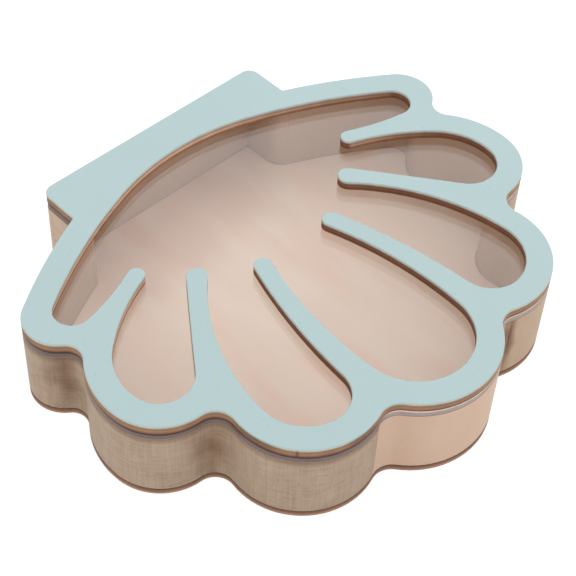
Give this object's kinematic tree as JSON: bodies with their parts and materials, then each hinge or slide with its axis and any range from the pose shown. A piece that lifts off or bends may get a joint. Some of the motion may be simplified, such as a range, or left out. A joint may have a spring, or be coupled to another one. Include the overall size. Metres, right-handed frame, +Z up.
{
  "type": "seashell display case",
  "caption": "Scallop-shaped wooden tray with a painted, ribbed front frame over a clear pane that lifts off as a lid.",
  "frame": {"origin": "on the face that the case rests on, under the middle of its bounding box", "axes": "+Z up through the window, +Y from the tip of the fan to the straight hinge edge, X across the plane of symmetry"},
  "size_m": [0.2236, 0.1929, 0.0432],
  "materials": {
    "painted_plywood": "pale blue-green paint on the face, bare brown laser-cut edges",
    "plain_plywood": "bare, laser-cut edges",
    "solid_wood": "bare, sanded",
    "clear_acrylic": "clear, polished",
    "nickel_plate": "bright nickel plate on a magnet"
  },
  "bodies": {
    "case": {"back_panel": "plain_plywood", "wall_base": "solid_wood", "wall_left": "solid_wood", "wall_right": "solid_wood", "wall_tip": "solid_wood", "case_magnets": "nickel_plate"},
    "lid": {"front_frame": "painted_plywood", "window_pane": "clear_acrylic", "lid_magnets": "nickel_plate"}
  },
  "joints": [
    {"name": "lid_lift", "type": "slide", "parent": "case", "child": "lid", "axis": [0, 0, 1], "range_m": [0, 0.06]}
  ]
}
